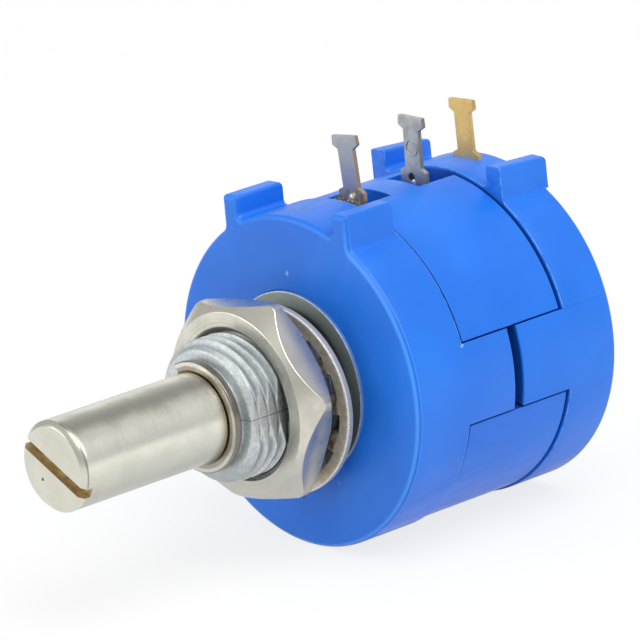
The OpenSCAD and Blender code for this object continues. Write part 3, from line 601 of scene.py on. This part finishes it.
def lugEnd(h, end):
    # rows at a lug's rear end as (y, share of the lug's height): level, a small round, a fall and a hollow foot
    height, wall = lugHeight(h), end - h["lugFoot"]
    t = np.radians(np.arange(0, 91, 22.5))
    roundRows = np.stack([wall - h["lugRound"] * (1 - np.sin(t)),
                          1 - h["lugRound"] * (1 - np.cos(t)) / height], 1)
    foot = np.stack([wall + h["lugFoot"] * (1 - np.cos(t)), h["innerFillet"] * (1 - np.sin(t)) / height], 1)
    return np.concatenate([roundRows, foot])


def rim(h, y, way, lift=1.0):
    # the small round at a shell's open end, from the skirt to the end face. The tabs' columns have their own y
    return [shellRow(h, y - way * h["rim"] * (1 - math.sin(t)), h["rim"] * (1 - math.cos(t)), lift)
            for t in np.radians((0, 30, 60, 90))]


def frontShell(h):
    # rows run from the flange's seat over the front face, round its edge, along the skirt and the tabs, and back
    # inside
    isTab = shellOutline(h, 0.0)[2]
    seam, edge = h["front"] + h["skirt"], h["edge"]
    tabEnd = seam + isTab * h["tab"]
    rows = [ringRow(h, h["seat"], h["front"]), shellRow(h, h["front"], edge, 0)]
    for t in np.radians(np.arange(0, 91, 15)):
        rows.append(shellRow(h, h["front"] + edge * (1 - math.cos(t)), edge * (1 - math.sin(t))))
    for share in (0.25, 0.5, 0.75):
        rows.append(shellRow(h, h["front"] + edge + share * (seam - h["lugFoot"] - h["front"] - edge)))
    rows += [shellRow(h, y, 0, lift) for y, lift in lugEnd(h, seam - h["rim"])]
    rows += rim(h, tabEnd, 1, 0)
    rows += [ringRow(h, h["skirtInner"], tabEnd), ringRow(h, h["skirtInner"], seam),
             ringRow(h, h["skirtInner"], h["frontWall"]), ringRow(h, h["tailHole"], h["frontWall"]),
             ringRow(h, h["tailHole"], h["seatDepth"]), ringRow(h, h["seat"], h["seatDepth"]),
             ringRow(h, h["seat"], h["front"])]
    return np.stack(rows)


def rearShell(h):
    # rows run from inside, round the rim and the tabs, along the skirt and over the rear face to its middle
    isTab = shellOutline(h, 0.0)[2]
    seam, edge = h["rear"] - h["skirt"], h["edge"]
    tabEnd = seam - isTab * h["tab"]
    rows = [ringRow(h, 0.0, h["rearWall"]), ringRow(h, sleeve["bore"], h["rearWall"]),
            ringRow(h, sleeve["bore"], sleeve["end"] + 0.05), ringRow(h, h["skirtInner"], sleeve["end"] + 0.05),
            ringRow(h, h["skirtInner"], seam), ringRow(h, h["skirtInner"], tabEnd),
            shellRow(h, tabEnd, h["rim"], 0)] + rim(h, tabEnd, -1)[::-1]
    straight, fall = h["rear"] - edge, h["lugFall"] / lugHeight(h) / h["skirt"]
    points, under, _ = shellOutline(h, 0.0)
    reach = np.clip((points[1] - under[1]) / h["lugBlend"], 0, 1)
    rows += [shellRow(h, y, 0, 1 - fall * (y - seam)) for y in np.linspace(seam + h["rim"], straight, 5)]
    for y, lift in lugEnd(h, h["rear"] + h["lugPast"]):
        rows.append(shellRow(h, straight + (y - straight) * reach, 0, lift * (1 - fall * (y - seam))))
    for t in np.radians((15, 30, 45, 60, 75, 90)):
        rows.append(shellRow(h, straight + edge * math.sin(t), edge * (1 - math.cos(t)), 0))
    rows.append(ringRow(h, 0.0, h["rear"]))
    return np.stack(rows)


def middleSleeve(h, m):
    # columns meet in pairs at the sides of the notches and recesses. A recess keeps the spigot's radius, and a
    # notch has a flat floor at that height
    middle, (above, below) = math.radians(h["tabMiddle"]), np.radians(m["recess"])
    notchAngle = math.asin(m["notch"] / m["radius"])
    spans = []
    for centre in (middle, math.pi - middle):
        spans.append([np.linspace(0, notchAngle, 8), np.linspace(notchAngle, centre - above, 34),
                      np.linspace(centre - above, centre + below, 18),
                       np.linspace(centre + below, math.pi, 42)])
    right, left = (np.concatenate(s) for s in spans)
    angle = np.concatenate([right, -left[::-1]])
    kind = [np.concatenate([np.full(len(part), k) for k, part in enumerate(s)]) for s in spans]
    kind = np.concatenate([kind[0], kind[1][::-1]])
    isNotch, isRecess = kind == 0, kind == 2
    fixedX = m["radius"] * np.sin(angle)

    def row(radius, y, cut=False):
        r = np.where(isRecess, min(radius, m["spigot"]), radius)
        x, z = r * np.sin(angle), r * np.cos(angle)
        z = np.where(isNotch, m["spigot"] if cut else np.sqrt(radius ** 2 - fixedX ** 2), z)
        return np.stack([np.where(isNotch, fixedX, x), y + 0 * x, z], -1)

    f, r, n = m["front"], m["rear"], m["radius"]
    return np.stack([row(m["bore"], m["start"]), row(m["spigot"], m["start"]),
                     row(m["spigot"], f), row(n, f, True),
                     row(n, f + m["frontNotch"], True), row(n, f + m["frontNotch"]), row(n, r - m["rearNotch"]),
                     row(n, r - m["rearNotch"], True), row(n, r, True), row(m["spigot"], r),
                     row(m["spigot"], m["end"]), row(m["bore"], m["end"]), row(m["bore"], m["start"])])


blue = finishes["housing_blue"]
addPiece("frontShell", [frontShell(housing)], "housing", [blue], ["front_housing"], crease=35)
addPiece("rearShell", [rearShell(cover)], "housing", [blue], ["rear_cover"], crease=35)
addPiece("middleSleeve", [middleSleeve(housing, sleeve)], "housing", [blue], ["mid_housing"],
         (0.06, 3))
print("housing built")


# bushing: a cast thread with flats where the mould's halves met

bushing = {"radius": 4.76, "root": 4.28, "pitch": 0.79375, "crestAt": -6.80, "crestAngle": 35,
           "front": -7.75, "threadEnd": -0.6, "flat": 4.25, "flatAngle": 86.5,
           "bore": 3.03, "lip": 3.5, "lipEnd": -8.05, "flange": 6.13, "flangeEdge": 0.06, "depth": 1.28,
           "tail": 5.2, "tailEnd": 2.5, "columns": 240, "rowsPerTurn": 16}


def castThread(b):
    # rows follow the helix: y = pitch (row + angle / turn), and the radius is the least of the thread's wave,
    # the end's slope and the two flats. Rows are held between the thread's ends
    angle = np.linspace(0, fullTurn, b["columns"] + 1)[None, :]
    phase = b["crestAt"] - b["pitch"] * math.radians(b["crestAngle"]) / fullTurn
    first = (b["front"] - phase) / b["pitch"] - 1.2
    last = (b["threadEnd"] - phase) / b["pitch"] + 0.2
    turns = (np.arange(math.floor(first * b["rowsPerTurn"]), math.ceil(last * b["rowsPerTurn"]) + 1)
             / b["rowsPerTurn"])[:, None]
    y = np.clip(phase + b["pitch"] * (turns + angle / fullTurn), b["front"] + 0.12, b["threadEnd"])
    away = np.abs((turns + 0.5) % 1 - 0.5) * 2
    wave = 1 - np.clip((away - 0.10) / 0.72, 0, 1)
    wave = wave * wave * (3 - 2 * wave) * 0.35 + wave * 0.65
    radius = b["root"] + (b["radius"] - b["root"]) * wave + 0 * angle
    radius = np.minimum(radius, b["root"] - 0.02 + 0.95 * (y - b["front"] - 0.12))
    radius = np.minimum(radius, b["root"] + 1.5 * (b["threadEnd"] - y))
    turn = (angle - math.radians(b["flatAngle"]) + math.pi / 2) % math.pi - math.pi / 2
    flat = b["flat"] / np.cos(np.clip(turn, -0.9, 0.9))
    gap = flat - radius
    radius = np.where(gap < 0, flat, radius) - 0.02 * np.exp(-(gap / 0.03) ** 2)
    return np.stack([radius * np.sin(angle), y, radius * np.cos(angle)], -1)


def bushingEnds(b):
    # turned rows on the thread's own columns: the rounded mouth, and the groove, flange, tail and bore
    angle = np.linspace(0, fullTurn, b["columns"] + 1)
    thread = castThread(b)
    mouth = turned([(b["bore"], b["lipEnd"] + 0.2), (b["bore"] + 0.2, b["lipEnd"]), (b["lip"], b["lipEnd"]),
                    (b["lip"], b["front"]), (b["root"] - 0.22, b["front"]),
                    (b["root"] - 0.10, b["front"] + 0.03)], angle)
    rest = turned([(b["root"], 0), (b["flange"] - b["flangeEdge"], 0),
                   (b["flange"] - 0.018, 0.018), (b["flange"], b["flangeEdge"]), (b["flange"], b["depth"]),
                   (b["tail"], b["depth"]), (b["tail"], b["tailEnd"]), (b["bore"], b["tailEnd"]),
                   (b["bore"], b["lipEnd"] + 0.2)], angle)
    return np.concatenate([mouth, thread[:1]]), np.concatenate([thread[-1:], rest])


frontEnd, rearEnd = bushingEnds(bushing)
addPiece("castBushing", [frontEnd, castThread(bushing), rearEnd], "housing",
         [finishes["bushing_zinc"]], ["bushing"], crease=42)
print("bushing built")


# shaft: turned bar with a sawn slot, and the snap ring in its groove

shaft = {"radius": 3.0, "tip": -20.85, "chamfer": 0.33, "slot": 0.74, "slotDepth": 0.75, "slotTurn": 27,
         "end": 11.1, "edge": 0.05, "grooveFrom": -8.66, "groove": 2.72}
snapRing = {"radius": 3.70, "inner": 2.85, "front": -8.62, "rear": -8.08, "opening": 66, "middle": 299,
            "soft": 0.1}


def barSide(s):
    # columns (angle, inside the slot or not), with both kinds at each slot edge
    def columns(radius):
        half = math.asin(s["slot"] / 2 / radius)
        slot, side = np.linspace(-half, half, 5), np.linspace(half, math.pi - half, 49)
        return np.concatenate([slot, side, slot + math.pi, side + math.pi, slot[:1] + fullTurn])
    counts = [5, 49, 5, 49, 1]
    inSlot = np.concatenate([np.full(c, k in (0, 2, 4)) for k, c in enumerate(counts)])
    floor, tipRadius, e = s["tip"] + s["slotDepth"], s["radius"] - s["chamfer"], s["edge"]
    rows = []
    for radius, y, cut in ((s["groove"], s["end"], False), (s["groove"], s["grooveFrom"], False),
                           (s["radius"] - 0.06, s["grooveFrom"], False),
                           (s["radius"], s["grooveFrom"] - 0.06, False),
                           (s["radius"], floor + 2, False), (s["radius"], floor, False),
                           (s["radius"], s["tip"] + s["chamfer"] + e, True),
                           (s["radius"] - e * 0.3, s["tip"] + s["chamfer"], True),
                           (tipRadius + e, s["tip"] + e * 0.7, True), (tipRadius, s["tip"], True)):
        held = inSlot & cut
        a = np.where(held, columns(s["radius"]), columns(radius))
        r = np.where(held, s["radius"], radius)
        rows.append(np.stack([r * np.cos(a), np.where(held, floor, y), r * np.sin(a)], -1))
    return np.stack(rows)


def barTip(s):
    # chords parallel to the slot: z' steps across the face and x' = side * sqrt(r^2 - z'^2) along each chord
    floor, tipRadius = s["tip"] + s["slotDepth"], s["radius"] - s["chamfer"]
    half = math.asin(s["slot"] / 2 / tipRadius)
    outer = tipRadius * np.sin(np.linspace(half, math.pi / 2, 25))
    inner = s["radius"] * np.sin(np.linspace(-1, 1, 5) * math.asin(s["slot"] / 2 / s["radius"]))
    z = np.concatenate([-outer[::-1], inner, outer])
    r = np.concatenate([np.full(25, tipRadius), np.full(5, s["radius"]), np.full(25, tipRadius)])
    y = np.concatenate([np.full(25, s["tip"]), np.full(5, floor), np.full(25, s["tip"])])
    reach = np.sqrt(np.maximum(r ** 2 - z ** 2, 0))[:, None] * np.linspace(-1, 1, 13)[None, :]
    return np.stack([reach, y[:, None] + 0 * reach, z[:, None] + 0 * reach], -1)


def barRear(s):
    # the hidden end: the side's own columns drawn in to the axis
    last = barSide(s)[:1]
    middle = last * np.array([0, 1, 0])
    return np.concatenate([last, middle])


bar = [turnAboutShaft(g, shaft["slotTurn"]) for g in (barSide(shaft), barTip(shaft), barRear(shaft))]
shaftPiece = addPiece("slottedShaft", bar, "rotor",
                      [finishes["shaft_nickel"], finishes["slot_brass"]], ["shaft"], crease=30)


def markSlot(piece, s):
    # faces on the slot's floor and walls take the second material
    count = len(piece.data.polygons)
    centre, normal = np.empty(count * 3), np.empty(count * 3)
    piece.data.polygons.foreach_get("center", centre)
    piece.data.polygons.foreach_get("normal", normal)
    centre, normal = centre.reshape(-1, 3) / mm, normal.reshape(-1, 3)
    a = math.radians(s["slotTurn"])
    across = centre[:, 0] * math.sin(a) + centre[:, 2] * math.cos(a)
    floor = s["tip"] + s["slotDepth"]
    inside = ((np.abs(across) < s["slot"] / 2 + 0.01) & (centre[:, 1] < floor + 0.01)
              & (centre[:, 1] > s["tip"] + 0.05))
    radial = np.hypot(centre[:, 0], centre[:, 2]) < s["radius"] - 0.02
    wall = np.abs(np.abs(across) - s["slot"] / 2) < 0.02
    piece.data.polygons.foreach_set("material_index", (inside & (radial | wall)).astype(np.int32))


markSlot(shaftPiece, shaft)


def openRing(r, columns=120):
    # a softened section carried from one side of the opening round to the other, its ends drawn to a point
    section = softened([(r["inner"], r["front"]), (r["radius"], r["front"]), (r["radius"], r["rear"]),
                        (r["inner"], r["rear"])], r["soft"], 5)
    half = math.radians(r["opening"] / 2)
    start = math.radians(r["middle"])
    grid = turned(closed(section), np.linspace(start + half, start + fullTurn - half, columns))
    middle = grid[:-1].mean(0)
    capped = np.concatenate([np.broadcast_to(middle[None, :1], grid[:, :1].shape), grid,
                             np.broadcast_to(middle[None, -1:], grid[:, :1].shape)], 1)
    return capped


addPiece("snapRing", [openRing(snapRing)], "rotor", [finishes["ring_steel"]], ["retaining_ring"])
print("shaft built")


# nut and lock washer

nut = {"flats": 12.7, "front": -5.3, "rear": -2.95, "corner": 23.3, "frontFace": 6.08, "rearFace": 6.45,
       "frontSlope": 1.15, "rearSlope": 0.66, "turned": 7.2, "bore": 4.8, "sink": 5.1}


def hexNut(n):
    # the radius at an angle is flats / 2 / cos(angle from the flat's middle), at most the turned corners'. Each
    # bevel is a cone from its face's circle: drop = slope (radius - face)
    step = np.linspace(-30, 30, 25)
    angle = np.radians((step[None, :] + 60 * np.arange(6)[:, None] + n["corner"] + 30).ravel())
    angle = np.append(angle, angle[0] + fullTurn)
    fromFlat = np.radians(np.append(np.tile(step, 6), step[0]))
    hexRadius = np.minimum(n["flats"] / 2 / np.cos(fromFlat), n["turned"])
    front, rear = n["frontFace"], np.minimum(hexRadius, n["rearFace"])
    frontDrop, rearDrop = n["frontSlope"] * (hexRadius - front), n["rearSlope"] * (hexRadius - rear)
    slope = n["sink"] - n["bore"]
    rows = [(n["bore"], (n["front"] + n["rear"]) / 2), (n["bore"], n["front"] + slope), (n["sink"], n["front"]),
            (front, n["front"]), (hexRadius, n["front"] + frontDrop), (hexRadius, n["rear"] - rearDrop),
            (rear, n["rear"]), (n["sink"], n["rear"]), (n["bore"], n["rear"] - slope),
            (n["bore"], (n["front"] + n["rear"]) / 2)]
    return np.stack([np.stack([(r + 0 * angle) * np.sin(angle), y + 0 * angle,
                               (r + 0 * angle) * np.cos(angle)], -1)
                     for r, y in rows])


addPiece("hexNut", [hexNut(nut)], "nut", [finishes["nut_nickel"]], ["hex_nut"], (0.045, 2), 24)

washer = {"radius": 6.4, "rim": 5.6, "hole": 4.98, "thick": 0.5, "teeth": 13, "toothShare": 0.55, "twist": 14,
          "first": 2.2, "middle": -1.70, "drop": 0.58, "tilt": 4.6, "soft": 0.07}


def lockWasher(w):
    # a softened ring, and teeth whose section turns about their own length from the rim to the hole. Everything
    # is then tilted and dropped onto the thread
    half = w["thick"] / 2
    ring = softened([(w["rim"], -half), (w["radius"], -half), (w["radius"], half), (w["rim"], half)], w["soft"])
    rim = turned(closed(ring), np.linspace(0, fullTurn, 145))
    width = fullTurn * w["hole"] / w["teeth"] * w["toothShare"] / 2
    section = closed(softened([(-width, -half), (width, -half), (width, half), (-width, half)], 0.07, 3))
    along = np.array([0, 0, 0.15, 0.4, 0.7, 0.95, 1, 1])[:, None]
    size = np.array([0, 1, 1, 1, 1, 1, 0.94, 0])[:, None]
    twist = math.radians(w["twist"]) * np.clip(along * 1.6, 0, 1)
    u, v = section[None, :, 0] * size, section[None, :, 1] * size
    across, depth = u * np.cos(twist) + v * np.sin(twist), v * np.cos(twist) - u * np.sin(twist)
    out = w["rim"] + 0.2 - along * (w["rim"] + 0.2 - w["hole"]) + 0 * across
    tooth = np.stack([across, depth, out], -1)
    teeth = [turnAboutShaft(tooth, w["first"] + 360 * k / w["teeth"]) for k in range(w["teeth"])]
    a = math.radians(w["tilt"])
    grids = []
    for grid in [rim] + teeth:
        x, y, z = np.moveaxis(grid, -1, 0)
        grids.append(np.stack([x * math.cos(a) - y * math.sin(a),
                               x * math.sin(a) + y * math.cos(a) + w["middle"], z - w["drop"]], -1))
    return grids


addPiece("toothedWasher", lockWasher(washer), "washer", [finishes["washer_nickel"]],
         ["lock_washer"], crease=45)
print("nut and washer built")


# terminals: sheet with a T-shaped tip, a neck and a flared base

terminal = {"thick": 0.32, "top": 15.05, "bar": 1.16, "barHeight": 0.64, "neck": 0.71, "slope": 0.28,
            "base": 1.18, "baseTop": 11.3, "flare": 0.36}
# front face, lean in degrees, foot, shift to the side, slot
places = {"terminal_1": (6.15, 6.2, 9.85, 0.0, "terminal_tin"),
          "terminal_2": (16.63, 2.7, 9.9, -0.08, "terminal_gold"),
          "terminal_3": (11.75, 0.0, 9.85, 0.0, "terminal_tin")}


def sheetTerminal(t, front, lean, foot, shift=0.0):
    # rows up the sheet give its half width, the section is an oblong, and points above the base lean over. The
    # shoulders follow width = neck + (base - neck) (1 + cos(pi share)) / 2
    barLow, half, a = t["top"] - t["barHeight"], t["thick"] / 2, math.radians(lean)
    share = np.linspace(0, 1, 9)
    shoulder = t["neck"] + (t["base"] - t["neck"]) * (1 + np.cos(math.pi * share)) / 2
    z = np.concatenate([[foot, foot], t["baseTop"] + t["flare"] * share,
                        [barLow - t["slope"], barLow, t["top"] - 0.03, t["top"], t["top"]]])[:, None]
    width = np.concatenate([[0, t["base"]], shoulder,
                            [t["neck"], t["bar"], t["bar"] - 0.06, t["bar"] - 0.09, 0]])[:, None]
    thin = np.ones_like(z)
    thin[[0, -1]], thin[-2] = 0, 0.8
    x = np.array([-1, 1, 1, -1, -1]) * width + shift
    y = np.array([-1, -1, 1, 1, -1]) * half * thin + front + half
    rise = np.maximum(z - t["baseTop"], 0)
    return np.stack([x - rise * math.sin(a), y, z + x * math.sin(a) * np.clip(rise / 0.4, 0, 1)], -1)


def facePad(centre, radius, height, lobes=0.0, sink=0.05):
    # a round pad on a sheet's front face: y = -height cos(share pi / 2), its outline waved by the lobes
    share, angle = np.linspace(0, 1, 9)[:, None], np.linspace(0, fullTurn, 37)[None, :]
    wave = 1 + lobes * np.sin(2 * angle + 0.7) + lobes * 0.6 * np.cos(3 * angle)
    r = radius * wave * np.concatenate([np.sin(share * math.pi / 2), [[1], [0]]])
    y = np.concatenate([-height * np.cos(share * math.pi / 2), [[sink], [sink]]]) + 0 * angle
    return np.stack([centre[0] + r * np.sin(angle), centre[1] + y, centre[2] + r * np.cos(angle)], -1)


def faceRing(centre, radius, thick):
    # a round wire lying half sunk in a sheet's front face
    t, angle = np.linspace(0, fullTurn, 13)[:, None], np.linspace(0, fullTurn, 49)[None, :]
    r = radius + thick * np.cos(t)
    return np.stack([centre[0] + r * np.sin(angle), centre[1] + thick * np.sin(t) + 0 * angle,
                     centre[2] + r * np.cos(angle)], -1)


# solder on the first, a ring and solder on the third
extras = {"terminal_1": [facePad((0.15, 6.15, 10.92), 0.38, 0.24, 0.12)], "terminal_2": [],
          "terminal_3": [faceRing((0.05, 11.75, 12.95), 0.52, 0.05),
                         facePad((0.0, 11.75, 10.64), 0.17, 0.1, 0.1)]}
for name, (front, lean, foot, shift, slot) in places.items():
    addPiece("sheet_" + name, [sheetTerminal(terminal, front, lean, foot, shift)] + extras[name],
             "housing", [finishes[slot]], [name], (0.03, 2), 40)
crust = {"x": (-1.5, 1.5), "y": (5.22, 7.3), "floor": 9.8, "top": 10.85, "stand": 6.2, "half": 1.05}


def crustMound(c):
    # height = floor + rise * falling(distance from the terminal's foot) + lumps, over a grid of x and y. Each row
    # runs out along the top and back along the floor, and the end rows are flat
    x, y = np.linspace(*c["x"], 61)[None, :], np.linspace(*c["y"], 45)[:, None]
    away = np.hypot(np.maximum(np.abs(x + 0.2) - c["half"], 0) * 1.6,
                    np.where(y < c["stand"], 0.55, 1.5) * (y - c["stand"]))
    lumps = (np.sin(9 * x + 4 * y) * np.sin(11 * y - 3 * x + 1)
             + np.sin(23 * x - 9 * y) * np.cos(19 * y + 6 * x) * 0.6)
    height = (c["top"] - c["floor"]) * np.clip(1.1 - away, 0, 1) ** 0.7 + 0.06 * lumps
    height = np.maximum(height, 0.04) * (np.abs(y - np.mean(c["y"])) < np.ptp(c["y"]) / 2 - 0.01)
    top = np.stack([x + 0 * y, y + 0 * x, c["floor"] + height], -1)
    floor = top[:, ::-1] * (1, 1, 0) + (0, 0, c["floor"])
    return np.concatenate([top, floor, top[:, :1]], 1)


addPiece("fluxCrust", [crustMound(crust)], "housing", [finishes["flux"]])
print("terminals built")


# floor, light and world

studio = {"floor": -11.12, "world": 0.55,
          # place and size in metres, power in watts
          "boxes": {"keyBox": ((0.30, -0.05, 0.62), 0.5, 3.3), "fillBox": ((-0.35, -0.55, 0.25), 0.5, 1.5),
                    "sideBox": ((0.55, 0.12, 0.42), 0.4, 0.6), "backBox": ((-0.45, 0.55, 0.28), 0.5, 0.4)}}


def whiteFloor(level):
    data = bpy.data.meshes.new("floor")
    data.from_pydata([(-2, -2, level * mm), (2, -2, level * mm), (2, 2, level * mm), (-2, 2, level * mm)], [],
                     [(0, 1, 2, 3)])
    floor = bpy.data.objects.new("floor", data)
    bpy.context.scene.collection.objects.link(floor)
    s = Sheet("whiteFloor")
    rays = [s.node("ShaderNodeLightPath", {}, {}, k) for k in ("Is Camera Ray", "Is Glossy Ray")]
    plain = s.node("ShaderNodeBsdfDiffuse", {}, {"Color": (0.86, 0.86, 0.86, 1)})
    glow = s.node("ShaderNodeEmission", {}, {"Color": (1, 1, 1, 1), "Strength": 1.0})
    mixed = s.node("ShaderNodeMixShader", {}, {0: rays[0].high(rays[1]) * 0.8, 1: plain, 2: glow})
    out = s.tree.nodes.new("ShaderNodeOutputMaterial")
    s.tree.links.new(mixed.socket, out.inputs[0])
    data.materials.append(s.material)


def softbox(name, place, size, power):
    # a square lamp that faces the origin
    data = bpy.data.lights.new(name, "AREA")
    data.shape, data.size, data.energy = "SQUARE", size, power
    lamp = bpy.data.objects.new(name, data)
    lamp.location = place
    lamp.rotation_euler = (-Vector(place)).to_track_quat("-Z", "Y").to_euler()
    bpy.context.scene.collection.objects.link(lamp)


def lightWorld(strength):
    world = bpy.data.worlds.new("studio")
    bpy.context.scene.world = world
    world.use_nodes = True
    world.node_tree.nodes["Background"].inputs[0].default_value = (1, 1, 1, 1)
    world.node_tree.nodes["Background"].inputs[1].default_value = strength


whiteFloor(studio["floor"])
for name, (place, size, power) in studio["boxes"].items():
    softbox(name, place, size, power)
lightWorld(studio["world"])
bpy.context.scene.view_settings.view_transform = "Standard"
print("studio lit")
